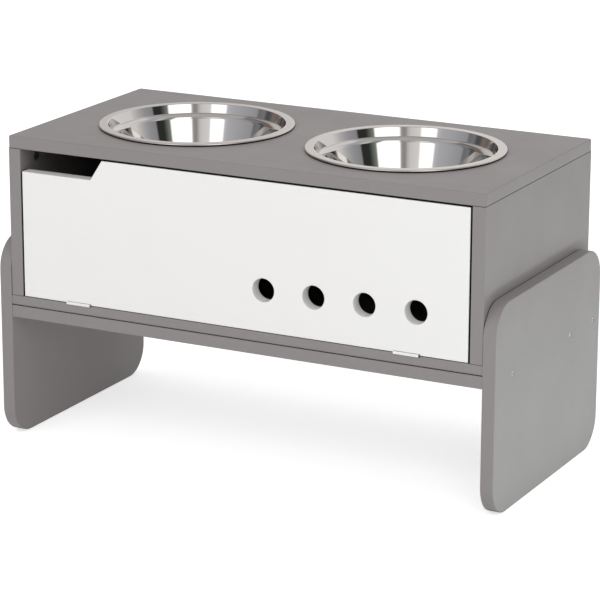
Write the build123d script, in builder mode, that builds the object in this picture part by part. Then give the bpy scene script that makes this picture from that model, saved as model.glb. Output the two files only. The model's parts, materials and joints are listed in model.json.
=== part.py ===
"""Elevated feeder with a storage cabinet, two drop-in bowls and a drop-down front door.

The cabinet is a box of painted boards on a stand of two side legs and a cross board. Its front
faces -Y and its left is -X. The origin lies on the ground, under the middle of the cabinet.
Lengths are millimetres.
"""
from build123d import *
import os

os.makedirs("parts", exist_ok=True)

# ---------------------------------------------------------------------------------------------
# Driving dimensions
# ---------------------------------------------------------------------------------------------
# Cabinet
cabinet_width = 580.0        # between the inner faces of the two legs
cabinet_depth = 290.0        # front edge to back edge of the boards
side_height = 170.0          # clear height of the storage compartment
top_thickness = 14.0
side_thickness = 15.0
floor_thickness = 12.0
back_thickness = 5.0
board_edge = 1.0             # softened arris of a painted board
top_edge = 1.5               # the top's upper arris is rounder
top_corner = 2.5             # the top's corners, seen from above
top_lower_edge = 0.5         # chamfer under the top's long edges
floor_edge = 3.0             # rounded lower long edges of the floor

# Stand
clear_under = 143.0          # ground to the underside of the cross board
cross_thickness = 14.0
leg_thickness = 15.0
leg_height = 233.0
leg_proud = 1.0              # how far a leg stands proud of the boards, front and back
leg_corner = 35.0

# Back panel in its grooves
groove_depth = 5.0
groove_slack = 0.3           # play of the panel's edge in the groove
groove_from_back = 8.0       # board left behind the groove

# Door
door_thickness = 15.0
door_side_gap = 2.0
door_top_gap = 2.2
door_bottom_gap = 0.5
notch_depth = 23.2           # finger notch, cut down from the door's top edge
notch_length = 88.4          # its level part, from the door's left edge
notch_slope = 15.0           # run of its slanted end
notch_corner = 4.0           # where the slant meets the door's top edge
notch_root = 1.0             # where the slant meets the level part
vent_radius = 13.25          # the row of round holes
vent_count = 4
vent_pitch = 60.5
vent_from_right = 60.5       # last hole's centre to the door's right edge
vent_height = 46.8           # centres above the door's lower edge

# Bowls
bowl_spacing = 261.0         # centre to centre
rim_radius = 110.75          # outside of the rolled rim
bead_radius = 1.4            # the rim's rolled edge
bowl_sheet = 0.8
bowl_seat_gap = 0.3          # rolled edge above the top panel
throat_radius = 100.6        # inside, where the flat lip turns down
throat_depth = 10.5          # height of the upper band
throat_taper = 3.6           # how much narrower the band is at its foot
step_width = 4.8             # the small ledge under the band
step_drop = 1.6
bowl_depth = 65.0            # panel surface to the inside of the bowl's bottom
bowl_taper = 17.7            # how much narrower the wall is at the bottom
lip_bend = 1.5               # radii of the sheet's bends, from the lip down
band_bend = 1.0
ledge_bend = 8.5
bowl_bottom_corner = 20.0
bowl_hole_clearance = 2.0    # round the band, where it drops through the top

# Butt hinges
hinge_from_side = 71.0       # hinge centre to the door's side edge
hinge_length = 29.4
leaf_width = 13.0            # from the door's front face into the board
leaf_thickness = 0.9
leaf_corner = 2.0
pin_radius = 0.8
pin_running_gap = 0.05       # pin in the door leaf's knuckle
pin_seat_gap = 0.02          # pin in the frame leaf's knuckles
knuckle_wall = 0.9
knuckle_end_gap = 0.2
axis_proud = 0.5             # hinge axis in front of the door's face
relief_gap = 0.4             # board cut back round the knuckles
mortise_gap = 0.2            # at the left end and behind the leaf
mortise_end_gap = 1.8        # at the right end, where the photograph shows a dark dot

# Magnetic catch under the top
catch_width = 30.0
catch_depth = 14.0
catch_height = 14.0
ear_width = 9.0
ear_thickness = 2.5
magnet_length = 20.0
magnet_depth = 9.5
magnet_height = 4.8
pole_thickness = 1.2
pole_proud = 0.8             # pole plates in front of the catch's body
pocket_gap = 0.1
catch_gap = 0.3              # pole plates to the strike plate
catch_corner = 1.5
strike_width = 30.0
strike_height = 11.0
strike_thickness = 1.0
strike_corner = 2.0
strike_below_top = 0.5       # strike plate under the door's top edge

# Screws: head radius, shank radius, length
joint_screw = (3.4, 1.9, 40.0)      # leg into the cross board's end
carcass_screw = (3.4, 1.9, 35.0)    # floor into a side panel
base_screw = (3.4, 1.9, 25.0)       # cross board into the floor
hinge_screw = (2.1, 1.1, 10.0)
catch_screw = (2.8, 1.4, 12.0)
hole_gap = 0.1                      # round every shank and head
leg_screw_from_front = 46.5         # foremost screw, behind the boards' front edges
leg_screw_before_back = 84.5        # middle screw
leg_screw_from_back = 17.5          # rearmost screw
carcass_screw_inset = 40.0          # from the front and back edges
base_screw_from_end = 90.0
base_screw_from_edge = 55.0
hinge_screw_spacing = 17.0

# Knock-down fittings of the top
cam_radius = 5.0
cam_depth = 10.5
cam_slack = 0.1
cam_drop = 15.0              # cam centre under the top panel
cam_inset = 34.0             # cam centre from the front or back edge
cam_slot_width = 1.2
cam_slot_depth = 1.5
bolt_head_radius = 2.4
bolt_head_height = 2.2
bolt_neck_radius = 1.4
bolt_shank_radius = 2.0
bolt_taper = 0.6             # height of the cone from shank to neck, just above the cam
bolt_thread_radius = 2.8
bolt_thread_length = 9.0
bolt_chamfer = 0.5
dowel_radius = 3.0
dowel_chamfer = 0.6
dowel_in_top = 9.0
dowel_in_side = 16.0
dowel_from_cam = 32.0

# ---------------------------------------------------------------------------------------------
# Levels and faces that follow from them
# ---------------------------------------------------------------------------------------------
front = -cabinet_depth / 2
back = cabinet_depth / 2
cross_bottom = clear_under
floor_bottom = cross_bottom + cross_thickness
floor_top = floor_bottom + floor_thickness
top_bottom = floor_top + side_height
top_face = top_bottom + top_thickness
outer_x = cabinet_width / 2
inner_x = outer_x - side_thickness
side_middle = outer_x - side_thickness / 2

door_left = -inner_x + door_side_gap
door_right = inner_x - door_side_gap
door_bottom = floor_top + door_bottom_gap
door_top = top_bottom - door_top_gap
door_back = front + door_thickness

axis_y = front - axis_proud
axis_z = floor_top + door_bottom_gap / 2
knuckle_radius = pin_radius + knuckle_wall
hinge_spots = {"left": door_left + hinge_from_side, "right": door_right - hinge_from_side}
hinge_screw_y = front + leaf_width / 2

groove_width = back_thickness + groove_slack
groove_middle = back - groove_from_back - groove_width / 2
groove_end = inner_x + groove_depth

bowl_spots = {"left": -bowl_spacing / 2, "right": bowl_spacing / 2}
bowl_hole_radius = throat_radius + bowl_sheet + bowl_hole_clearance

cam_height = top_bottom - cam_drop
cam_ys = (front + cam_inset, back - cam_inset)
dowel_ys = (front + cam_inset + dowel_from_cam, back - cam_inset - dowel_from_cam)
carcass_ys = (front + carcass_screw_inset, 0.0, back - carcass_screw_inset)
leg_screw_ys = (
    front + leg_screw_from_front,
    back - leg_screw_before_back,
    back - leg_screw_from_back,
)
leg_screw_height = cross_bottom + cross_thickness / 2
base_screw_xs = (-outer_x + base_screw_from_end, outer_x - base_screw_from_end)
base_screw_ys = (front + base_screw_from_edge, back - base_screw_from_edge)

catch_front = door_back + strike_thickness + catch_gap + pole_proud
catch_middle_y = catch_front + catch_depth / 2
strike_middle = door_top - strike_below_top - strike_height / 2
catch_screw_xs = (-catch_width / 2 - ear_width / 2, catch_width / 2 + ear_width / 2)

SIDES = {"left": -1, "right": 1}


def save(part, name):
    """Label a finished piece and write it to its own file."""
    part.label = name
    export_step(part, f"parts/{name}.step")


def pointing(x, y, z, direction):
    """A plane at a point, whose normal points out of a hole's mouth or a screw's head."""
    return Plane(origin=(x, y, z), z_dir=direction)


def screw(size):
    """A countersunk screw, its head level with the plane and its point along -Z."""
    head_radius, shank_radius, length = size
    cone = head_radius - shank_radius
    with BuildPart() as body:
        with BuildSketch(Plane.XZ):
            with BuildLine():
                Polyline(
                    (0, 0),
                    (head_radius, 0),
                    (shank_radius, -cone),
                    (shank_radius, -length + 2 * shank_radius),
                    (0, -length),
                    close=True,
                )
            make_face()
        revolve(axis=Axis.Z)
    return body.part


def countersink(planes, size):
    """Cut the clearance holes of a row of screws, each from its head's plane inwards."""
    head_radius, shank_radius, length = size
    with Locations(*planes):
        CounterSinkHole(
            radius=shank_radius + hole_gap,
            counter_sink_radius=head_radius + hole_gap,
            depth=length + hole_gap,
            counter_sink_angle=90,
        )


def place(piece, planes):
    """Copies of one piece, one on each plane, as separate solids of one part."""
    with BuildPart() as group:
        with Locations(*planes):
            add(piece)
    return group.part


# ---------------------------------------------------------------------------------------------
# Screw places, each written once and used by the holes and by the screws
# ---------------------------------------------------------------------------------------------
base_planes = [
    pointing(x, y, cross_bottom, (0, 0, -1)) for x in base_screw_xs for y in base_screw_ys
]
catch_planes = [
    pointing(x, catch_middle_y, top_bottom - ear_thickness, (0, 0, -1)) for x in catch_screw_xs
]
strike_planes = [pointing(0, door_back + strike_thickness, strike_middle, (0, 1, 0))]
leg_planes = {
    name: [
        pointing(side * (outer_x + leg_thickness), y, leg_screw_height, (side, 0, 0))
        for y in leg_screw_ys
    ]
    for name, side in SIDES.items()
}
carcass_planes = {
    name: [pointing(side * side_middle, y, floor_bottom, (0, 0, -1)) for y in carcass_ys]
    for name, side in SIDES.items()
}
frame_leaf_planes = {
    name: [
        pointing(x + step * hinge_screw_spacing / 2, hinge_screw_y, floor_top, (0, 0, 1))
        for step in (-1, 1)
    ]
    for name, x in hinge_spots.items()
}
door_leaf_planes = {
    name: [
        pointing(x + step * hinge_screw_spacing / 2, hinge_screw_y, door_bottom, (0, 0, -1))
        for step in (-1, 1)
    ]
    for name, x in hinge_spots.items()
}


def cut_hinge_mortises(level, towards):
    """Cut the leaf recesses and the knuckle reliefs of both hinges into a board's edge."""
    length = hinge_length + mortise_gap + mortise_end_gap
    shift = (mortise_end_gap - mortise_gap) / 2
    depth = leaf_width + mortise_gap
    for x in hinge_spots.values():
        with BuildSketch(Plane.XY.offset(level)) as recess:
            with Locations((x + shift, front + depth / 2)):
                Rectangle(length, depth)
        extrude(recess.sketch, amount=towards * leaf_thickness, mode=Mode.SUBTRACT)
        with BuildSketch(Plane.YZ.offset(x + shift - length / 2)) as relief:
            with Locations((axis_y, axis_z)):
                Circle(knuckle_radius + relief_gap)
        extrude(relief.sketch, amount=length, mode=Mode.SUBTRACT)


# ---------------------------------------------------------------------------------------------
# Stand: two rounded legs and the cross board between them
# ---------------------------------------------------------------------------------------------
for name, side in SIDES.items():
    with BuildPart() as leg:
        with BuildSketch(Plane.YZ.offset(side * outer_x)):
            with Locations((0, leg_height / 2)):
                RectangleRounded(cabinet_depth + 2 * leg_proud, leg_height, leg_corner)
        extrude(amount=side * leg_thickness)
        rims = leg.faces().filter_by(Axis.X).edges()
        fillet(rims, board_edge)
        countersink(leg_planes[name], joint_screw)
    save(leg.part, f"{name}_leg")
    save(place(screw(joint_screw), leg_planes[name]), f"{name}_leg_screws")

with BuildPart() as cross_board:
    with BuildSketch(Plane.XY.offset(cross_bottom)):
        Rectangle(cabinet_width, cabinet_depth)
    extrude(amount=cross_thickness)
    long_edges = cross_board.edges().filter_by(Axis.X)
    fillet(long_edges, board_edge)
    for planes in leg_planes.values():
        countersink(planes, joint_screw)
    countersink(base_planes, base_screw)
save(cross_board.part, "cross_board")
save(place(screw(base_screw), base_planes), "base_screws")

# ---------------------------------------------------------------------------------------------
# Cabinet: floor, sides, back and top
# ---------------------------------------------------------------------------------------------
with BuildPart() as floor_panel:
    with BuildSketch(Plane.XY.offset(floor_bottom)):
        Rectangle(cabinet_width, cabinet_depth)
    extrude(amount=floor_thickness)
    lower_edges = floor_panel.faces().sort_by(Axis.Z)[0].edges().filter_by(Axis.X)
    fillet(lower_edges, floor_edge)
    with BuildSketch(Plane.XY.offset(floor_top)):
        with Locations((0, groove_middle)):
            Rectangle(2 * groove_end, groove_width)
    extrude(amount=-groove_depth, mode=Mode.SUBTRACT)
    cut_hinge_mortises(floor_top, -1)
    for planes in carcass_planes.values():
        countersink(planes, carcass_screw)
    for planes in frame_leaf_planes.values():
        countersink(planes, hinge_screw)
    countersink(base_planes, base_screw)
save(floor_panel.part, "floor_panel")

for name, side in SIDES.items():
    cam_planes = [pointing(side * inner_x, y, cam_height, (-side, 0, 0)) for y in cam_ys]
    with BuildPart() as side_panel:
        with BuildSketch(Plane.XY.offset(floor_top)):
            with Locations((side * side_middle, 0)):
                Rectangle(side_thickness, cabinet_depth)
        extrude(amount=side_height)
        upright_edges = side_panel.edges().filter_by(Axis.Z)
        fillet(upright_edges, board_edge)
        with BuildSketch(Plane.XY.offset(floor_top)):
            with Locations((side * (inner_x + groove_depth / 2), groove_middle)):
                Rectangle(groove_depth, groove_width)
        extrude(amount=side_height, mode=Mode.SUBTRACT)
        countersink(carcass_planes[name], carcass_screw)
        with Locations(*cam_planes):
            Hole(cam_radius + cam_slack, depth=cam_depth + cam_slack)
        with Locations([(side * side_middle, y, top_bottom) for y in cam_ys]):
            Hole(bolt_head_radius + cam_slack, depth=cam_drop)
        with Locations([(side * side_middle, y, top_bottom) for y in dowel_ys]):
            Hole(dowel_radius + hole_gap, depth=dowel_in_side + hole_gap)
    save(side_panel.part, f"{name}_side_panel")
    save(place(screw(carcass_screw), carcass_planes[name]), f"{name}_floor_screws")

with BuildPart() as back_panel:
    with BuildSketch(Plane.XZ.offset(-groove_middle)):
        with Locations((0, floor_top + side_height / 2)):
            Rectangle(
                2 * (groove_end - groove_slack),
                side_height + 2 * (groove_depth - groove_slack),
            )
    extrude(amount=back_thickness / 2, both=True)
save(back_panel.part, "back_panel")

with BuildPart() as top_panel:
    with BuildSketch(Plane.XY.offset(top_bottom)):
        RectangleRounded(cabinet_width, cabinet_depth, top_corner)
        with Locations([(x, 0) for x in bowl_spots.values()]):
            Circle(bowl_hole_radius, mode=Mode.SUBTRACT)
    extrude(amount=top_thickness)
    upper_rims = top_panel.faces().sort_by(Axis.Z)[-1].edges()
    fillet(upper_rims, top_edge)
    lower_rim = top_panel.faces().sort_by(Axis.Z)[0].edges().filter_by(GeomType.LINE)
    chamfer(lower_rim.filter_by(Axis.X), top_lower_edge)
    with BuildSketch(Plane.XY.offset(top_bottom)):
        with Locations((0, groove_middle)):
            Rectangle(2 * groove_end, groove_width)
    extrude(amount=groove_depth, mode=Mode.SUBTRACT)
    for side in SIDES.values():
        with Locations([pointing(side * side_middle, y, top_bottom, (0, 0, -1)) for y in cam_ys]):
            Hole(bolt_thread_radius + hole_gap, depth=bolt_thread_length + hole_gap)
        with Locations([pointing(side * side_middle, y, top_bottom, (0, 0, -1)) for y in dowel_ys]):
            Hole(dowel_radius + hole_gap, depth=dowel_in_top + hole_gap)
    countersink(catch_planes, catch_screw)
save(top_panel.part, "top_panel")

# ---------------------------------------------------------------------------------------------
# Knock-down fittings: a slotted cam in the side draws down a bolt that hangs from the top
# ---------------------------------------------------------------------------------------------
with BuildPart() as cam_bolt:
    # The bolt's axis is Z, and the top panel's underside is at its zero level.
    with BuildSketch(Plane.XZ):
        with BuildLine():
            Polyline(
                (0, bolt_thread_length),
                (bolt_thread_radius - bolt_chamfer, bolt_thread_length),
                (bolt_thread_radius, bolt_thread_length - bolt_chamfer),
                (bolt_thread_radius, 0),
                (bolt_shank_radius, 0),
                (bolt_shank_radius, -cam_drop + cam_radius + 2 * bolt_taper),
                (bolt_neck_radius, -cam_drop + cam_radius + bolt_taper),
                (bolt_neck_radius, -cam_drop + bolt_head_height / 2),
                (bolt_head_radius, -cam_drop + bolt_head_height / 2),
                (bolt_head_radius, -cam_drop - bolt_head_height / 2),
                (0, -cam_drop - bolt_head_height / 2),
                close=True,
            )
        make_face()
    revolve(axis=Axis.Z)

with BuildPart() as dowel:
    # The dowel's axis is Z, and the top panel's underside is at its zero level.
    with BuildSketch(Plane.XY.offset(-dowel_in_side)):
        Circle(dowel_radius)
    extrude(amount=dowel_in_side + dowel_in_top)
    chamfer(dowel.edges(), dowel_chamfer)

for name, side in SIDES.items():
    bolt_planes = [pointing(side * side_middle, y, top_bottom, (0, 0, 1)) for y in cam_ys]
    dowel_planes = [pointing(side * side_middle, y, top_bottom, (0, 0, 1)) for y in dowel_ys]
    save(place(cam_bolt.part, bolt_planes), f"{name}_cam_bolts")
    save(place(dowel.part, dowel_planes), f"{name}_dowels")
    with BuildPart() as cams:
        for y in cam_ys:
            with BuildSketch(Plane.YZ.offset(side * inner_x)):
                with Locations((y, cam_height)):
                    Circle(cam_radius)
            extrude(amount=side * cam_depth)
            with BuildSketch(Plane.YZ.offset(side * inner_x)):
                with Locations((y, cam_height)):
                    Rectangle(2 * cam_radius, cam_slot_width)
                    Rectangle(cam_slot_width, cam_radius)
            extrude(amount=side * cam_slot_depth, mode=Mode.SUBTRACT)
            with Locations((side * side_middle, y, cam_height)):
                Cylinder(
                    bolt_neck_radius + 2 * cam_slack,
                    cam_radius,
                    align=(Align.CENTER, Align.CENTER, Align.MIN),
                    mode=Mode.SUBTRACT,
                )
                Cylinder(
                    bolt_head_radius + cam_slack,
                    bolt_head_height + 2 * cam_slack,
                    mode=Mode.SUBTRACT,
                )
    save(cams.part, f"{name}_cams")

# ---------------------------------------------------------------------------------------------
# Door: inset panel with a finger notch, a row of round holes and mortises for its hinges
# ---------------------------------------------------------------------------------------------
with BuildPart() as door:
    with BuildSketch(Plane.XZ.offset(-door_back)) as door_outline:
        with BuildLine():
            Polyline(
                (door_left, door_bottom),
                (door_right, door_bottom),
                (door_right, door_top),
                (door_left + notch_length + notch_slope, door_top),
                (door_left + notch_length, door_top - notch_depth),
                (door_left, door_top - notch_depth),
                close=True,
            )
        make_face()
        left_to_right = door_outline.vertices().sort_by(Axis.X)
        fillet(left_to_right[2], notch_root)
        fillet(left_to_right[3], notch_corner)
        with Locations(
            [
                (door_right - vent_from_right - step * vent_pitch, door_bottom + vent_height)
                for step in range(vent_count)
            ]
        ):
            Circle(vent_radius, mode=Mode.SUBTRACT)
    extrude(amount=door_thickness)
    face_rims = door.faces().filter_by(Axis.Y).edges()
    fillet(face_rims, board_edge)
    cut_hinge_mortises(door_bottom, 1)
    for planes in door_leaf_planes.values():
        countersink(planes, hinge_screw)
    countersink(strike_planes, catch_screw)
save(door.part, "door")

# ---------------------------------------------------------------------------------------------
# Hinges: a frame leaf with two knuckles, a door leaf with one between them, and a pin
# ---------------------------------------------------------------------------------------------
outer_knuckle = hinge_length / 4
middle_knuckle = hinge_length / 2 - 2 * knuckle_end_gap
knuckles = {
    "frame": [(-hinge_length / 2, outer_knuckle), (hinge_length / 4, outer_knuckle)],
    "door": [(-middle_knuckle / 2, middle_knuckle)],
}
leaf_faces = {"frame": (floor_top, -1), "door": (door_bottom, 1)}
bore_gaps = {"frame": pin_seat_gap, "door": pin_running_gap}
leaf_planes = {"frame": frame_leaf_planes, "door": door_leaf_planes}
plate_start = axis_y + knuckle_radius - knuckle_wall / 2

for name, hinge_x in hinge_spots.items():
    for owner in ("frame", "door"):
        level, towards = leaf_faces[owner]
        with BuildPart() as leaf:
            with BuildSketch(Plane.XY.offset(level)) as plate:
                with Locations((hinge_x, front + leaf_width / 2)):
                    Rectangle(hinge_length, leaf_width)
                far_corners = plate.vertices().sort_by(Axis.Y)[-2:]
                fillet(far_corners, leaf_corner)
                # The plate only reaches the barrel where this leaf has a knuckle.
                with Locations((hinge_x, front)):
                    Rectangle(
                        hinge_length,
                        2 * (axis_y + knuckle_radius + relief_gap - front),
                        mode=Mode.SUBTRACT,
                    )
            extrude(amount=towards * leaf_thickness)
            for start, length in knuckles[owner]:
                with BuildSketch(Plane.XY.offset(level)):
                    tongue = axis_y + knuckle_radius + relief_gap - plate_start
                    with Locations((hinge_x + start + length / 2, plate_start + tongue / 2)):
                        Rectangle(length, tongue)
                extrude(amount=towards * leaf_thickness)
                with BuildSketch(Plane.YZ.offset(hinge_x + start)):
                    with Locations((axis_y, axis_z)):
                        Circle(knuckle_radius)
                        Circle(pin_radius + bore_gaps[owner], mode=Mode.SUBTRACT)
                extrude(amount=length)
            countersink(leaf_planes[owner][name], hinge_screw)
        save(leaf.part, f"{name}_hinge_{owner}_leaf")
        screws = place(screw(hinge_screw), leaf_planes[owner][name])
        save(screws, f"{name}_hinge_{owner}_screws")
    with BuildPart() as pin:
        with BuildSketch(Plane.YZ.offset(hinge_x - hinge_length / 2)):
            with Locations((axis_y, axis_z)):
                Circle(pin_radius)
        extrude(amount=hinge_length)
    save(pin.part, f"{name}_hinge_pin")

# ---------------------------------------------------------------------------------------------
# Bowls: one pressed sheet, from the rolled rim over the flat lip, band and ledge to the bottom
# ---------------------------------------------------------------------------------------------
lip_top = bowl_seat_gap + 2 * bead_radius
band_foot = throat_radius - throat_taper
wall_top = band_foot - step_width
bowl_floor_radius = wall_top - bowl_taper

for name, bowl_x in bowl_spots.items():
    with BuildPart() as bowl:
        with BuildSketch(Plane.XZ):
            with BuildLine() as sheet:
                FilletPolyline(
                    (rim_radius - bead_radius, lip_top),
                    (throat_radius, lip_top),
                    (band_foot, lip_top - throat_depth),
                    (wall_top, lip_top - throat_depth - step_drop),
                    (bowl_floor_radius, -bowl_depth),
                    (0, -bowl_depth),
                    radius=[lip_bend, band_bend, ledge_bend, bowl_bottom_corner],
                )
                offset(amount=bowl_sheet, side=Side.LEFT)
            make_face()
            with Locations((rim_radius - bead_radius, lip_top - bead_radius)):
                Circle(bead_radius)
        revolve(axis=Axis.Z)
    placed = bowl.part.moved(Location((bowl_x, 0, top_face)))
    save(placed, f"{name}_bowl")

# ---------------------------------------------------------------------------------------------
# Magnetic catch: a housing under the top, a magnet between two pole plates, and a strike plate
# ---------------------------------------------------------------------------------------------
pole_height = magnet_height + 2 * pole_thickness
pocket_depth = magnet_depth + pocket_gap
with BuildPart() as catch_body:
    with BuildSketch(Plane.XY.offset(top_bottom)):
        with Locations((0, catch_middle_y)):
            RectangleRounded(catch_width + 2 * ear_width, catch_depth, catch_corner)
    extrude(amount=-ear_thickness)
    with BuildSketch(Plane.XY.offset(top_bottom)):
        with Locations((0, catch_middle_y)):
            RectangleRounded(catch_width, catch_depth, catch_corner)
    extrude(amount=-catch_height)
    with BuildSketch(Plane.XZ.offset(-catch_front)):
        with Locations((0, strike_middle)):
            Rectangle(magnet_length + 2 * pocket_gap, pole_height + 2 * pocket_gap)
    extrude(amount=-pocket_depth, mode=Mode.SUBTRACT)
    countersink(catch_planes, catch_screw)
save(catch_body.part, "catch_body")
save(place(screw(catch_screw), catch_planes), "catch_screws")

with BuildPart() as catch_magnet:
    with BuildSketch(Plane.XZ.offset(-catch_front)):
        with Locations((0, strike_middle)):
            Rectangle(magnet_length, magnet_height)
    extrude(amount=-magnet_depth)
save(catch_magnet.part, "catch_magnet")

with BuildPart() as catch_pole_plates:
    pole_offset = (magnet_height + pole_thickness) / 2
    with BuildSketch(Plane.XZ.offset(-catch_front + pole_proud)):
        with Locations((0, strike_middle - pole_offset), (0, strike_middle + pole_offset)):
            Rectangle(magnet_length, pole_thickness)
    extrude(amount=-(magnet_depth + pole_proud))
save(catch_pole_plates.part, "catch_pole_plates")

with BuildPart() as strike_plate:
    with BuildSketch(Plane.XZ.offset(-door_back - strike_thickness)):
        with Locations((0, strike_middle)):
            RectangleRounded(strike_width, strike_height, strike_corner)
    extrude(amount=strike_thickness)
    countersink(strike_planes, catch_screw)
save(strike_plate.part, "strike_plate")
save(place(screw(catch_screw), strike_planes), "strike_screw")
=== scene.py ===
# %% [markdown]
# # An elevated dog feeder, dressed for its portrait
#
# The real object is a small cabinet of painted fibreboard on two rounded legs. Two stainless steel
# bowls hang in its top, and a white door drops down at the front. The imported CAD model gives every
# board its true shape and place. This lesson adds what CAD leaves out: lacquer, polished steel,
# zinc, real screw heads, and the light of a small studio.
#
# The first cell loads the fixed frame.

# %% Load the frame
import json
import math

import bpy
import numpy as np
from mathutils import Matrix, Vector

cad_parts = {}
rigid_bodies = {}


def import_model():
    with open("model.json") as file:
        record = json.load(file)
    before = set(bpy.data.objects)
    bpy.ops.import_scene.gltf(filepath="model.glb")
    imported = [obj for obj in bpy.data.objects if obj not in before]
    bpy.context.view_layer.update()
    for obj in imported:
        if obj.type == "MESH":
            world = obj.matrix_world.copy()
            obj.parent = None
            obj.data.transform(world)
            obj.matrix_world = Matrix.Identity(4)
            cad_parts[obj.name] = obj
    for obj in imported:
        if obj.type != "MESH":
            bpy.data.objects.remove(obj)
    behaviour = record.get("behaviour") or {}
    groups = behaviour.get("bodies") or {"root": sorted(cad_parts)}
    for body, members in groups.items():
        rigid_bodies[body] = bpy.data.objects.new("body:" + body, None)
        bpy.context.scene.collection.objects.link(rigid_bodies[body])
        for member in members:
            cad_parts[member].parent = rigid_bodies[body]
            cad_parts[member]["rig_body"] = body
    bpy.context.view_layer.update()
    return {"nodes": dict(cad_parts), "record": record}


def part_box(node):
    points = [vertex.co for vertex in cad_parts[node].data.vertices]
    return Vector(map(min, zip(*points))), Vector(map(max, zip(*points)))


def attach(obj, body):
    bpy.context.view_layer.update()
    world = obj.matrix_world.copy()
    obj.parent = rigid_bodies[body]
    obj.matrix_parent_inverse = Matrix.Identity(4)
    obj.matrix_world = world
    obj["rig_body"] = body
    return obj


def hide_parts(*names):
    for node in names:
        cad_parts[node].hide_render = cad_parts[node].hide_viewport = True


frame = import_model()
nodes = frame["nodes"]

# %% [markdown]
# ## Colours
#
# A paint chart gives colours as sRGB hex values, but light adds up in linear values. One function
# turns the first into the second, and every colour below goes through it.


# %% Colour helper
def linear(hex_colour):
    """An sRGB hex value such as '8B8786' as a linear RGBA colour."""
    channels = [int(hex_colour[i : i + 2], 16) / 255 for i in (0, 2, 4)]
    lit = [c / 12.92 if c <= 0.04045 else ((c + 0.055) / 1.055) ** 2.4 for c in channels]
    return (*lit, 1.0)


MM = 0.001  # Blender works in metres here, and the sizes below are given in millimetres
print("mid gray is", round(linear("808080")[0], 3), "in linear light")

# %% [markdown]
# ## Building node trees
#
# Every finish is a small graph of nodes. Clicking one together is fine for one material, but a
# script wants one helper: it adds a node of any kind, sets its properties and unlinked sockets,
# and links other nodes' outputs into it. A second helper starts a material from its shader, and a
# third gives the place on the piece in millimetres.


# %% Node helpers
def add_node(tree, kind, settings=None, links=None):
    """Add a node, set its sockets (by name or number) or properties, and link outputs into it."""
    made = tree.nodes.new(kind)
    for key, value in (settings or {}).items():
        if isinstance(key, str) and hasattr(made, key):
            setattr(made, key, value)
        else:
            made.inputs[key].default_value = value
    for key, output in (links or {}).items():
        tree.links.new(output, made.inputs[key])
    return made


def start_finish(name, **shader_values):
    """A material with one Principled shader, whose constants are set on its own sockets."""
    material = bpy.data.materials.new(name)
    material.use_nodes = True
    shader = material.node_tree.nodes["Principled BSDF"]
    for socket, value in shader_values.items():
        shader.inputs[socket.replace("_", " ")].default_value = value
    return material, material.node_tree, shader


def millimetres(tree):
    """The piece's own coordinates in millimetres, so that a pattern's scale reads as 1 / size."""
    place = add_node(tree, "ShaderNodeTexCoord")
    return add_node(
        tree,
        "ShaderNodeVectorMath",
        {"operation": "SCALE", "Scale": 1 / MM},
        {0: place.outputs["Object"]},
    ).outputs[0]


NOISE_SPAN = (0.3, 0.7)  # nearly all values of a noise texture lie between these two
print("node helpers ready; noise runs from", *NOISE_SPAN)

# %% [markdown]
# ## Painted shade in the joints
#
# A narrow joint between two boards, or the gap under the rolled edge of a bowl, is darker than its
# walls, because little light gets into it. That shade is painted into the colour here. It could be
# painted along each joint by hand. Here the finish finds the joints by itself: ambient occlusion
# measures how much of the sky stays open over a spot when only what is within a few millimetres
# counts, and where that share is small, the colour goes dark. Corners get the same painted shade.

# %% Painted shade in the joints
SHADE_REACH = 12.0       # mm, how far a spot looks for a facing board
SHADE_SAMPLES = 8        # directions that it looks in
SHADE_DARKEST = 0.02     # share of its colour that the painted shade leaves in a narrow joint


def painted_hollow_shade(tree, starts, full_shade):
    """Painted shade: 1 where the open sky's share is over starts, darkest where little is open."""
    open_sky = add_node(
        tree,
        "ShaderNodeAmbientOcclusion",
        {"samples": SHADE_SAMPLES, "Distance": SHADE_REACH * MM},
    )
    return add_node(
        tree,
        "ShaderNodeMapRange",
        {"From Min": full_shade, "From Max": starts, "To Min": SHADE_DARKEST},
        {"Value": open_sky.outputs["AO"]},
    ).outputs[0]


print("dust looks", SHADE_REACH, "mm round each spot")

# %% [markdown]
# ## Butt joints
#
# The side boards stand on the floor board and carry the top, pressed tight by bolts and screws.
# Such a joint has no gap in the mesh, but the lacquer ends on either side in a rounded arris, and
# the fine groove between the two holds shade, which shows as a hairline. A groove in the mesh would
# change the boards' shape, so that shade is painted in the lacquer as a dark line: at the height of
# a joint, and only as far along the cabinet as a side board reaches.

# %% Butt joint shade lines
BUTT_JOINTS = (169.0, 339.0)    # mm above the ground, a side board's lower and upper end
BUTT_MIDDLE = 282.5     # mm from the cabinet's middle to the middle of a side board
BUTT_HALF = 7.8         # mm, half a side board, and a little more for its outer face
BUTT_LINE = (0.6, 0.2)  # mm from the joint, where its line starts and where it is darkest
BUTT_SHADE = 0.30       # the darkest line, as a share of the board's colour


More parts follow.
